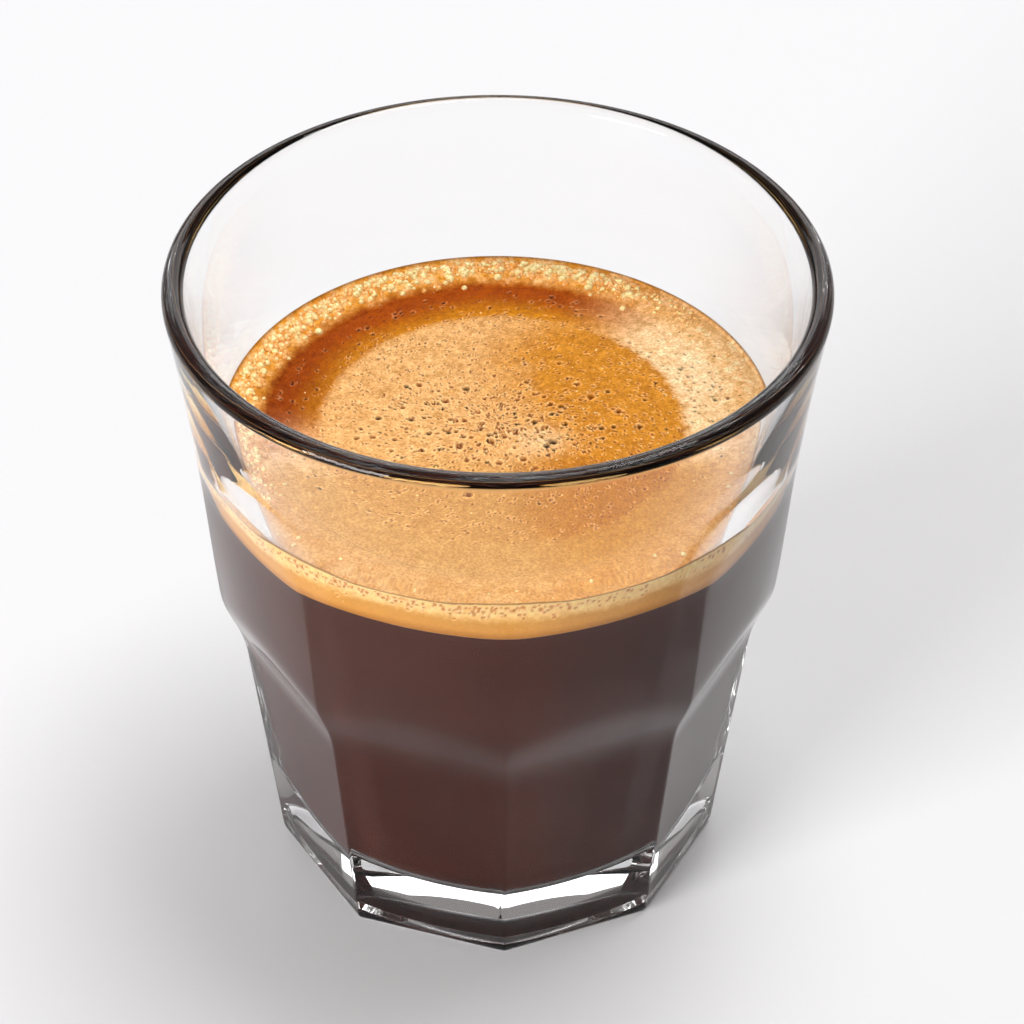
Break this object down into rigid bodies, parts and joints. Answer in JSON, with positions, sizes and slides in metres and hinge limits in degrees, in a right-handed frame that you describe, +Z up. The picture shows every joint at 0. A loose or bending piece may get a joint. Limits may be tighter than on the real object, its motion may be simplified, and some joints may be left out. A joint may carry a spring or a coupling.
{
  "type": "double espresso in a glass",
  "caption": "Double espresso with a thick golden crema in a small tapered glass tumbler with flat facets, a curved shoulder and a rounded lip.",
  "frame": {"origin": "middle of the foot, on the surface the glass stands on", "axes": "+Z up through the mouth; one ridge between two flat sides points along -Y"},
  "size_m": [0.063, 0.063, 0.068],
  "materials": {
    "glass": "clear tempered glass, polished",
    "coffee": "dark brown liquid, glossy",
    "crema": "golden foam, fine bubbles, slightly wet"
  },
  "bodies": {
    "root": {"glass": "glass", "coffee": "coffee", "crema": "crema"}
  },
  "joints": []
}
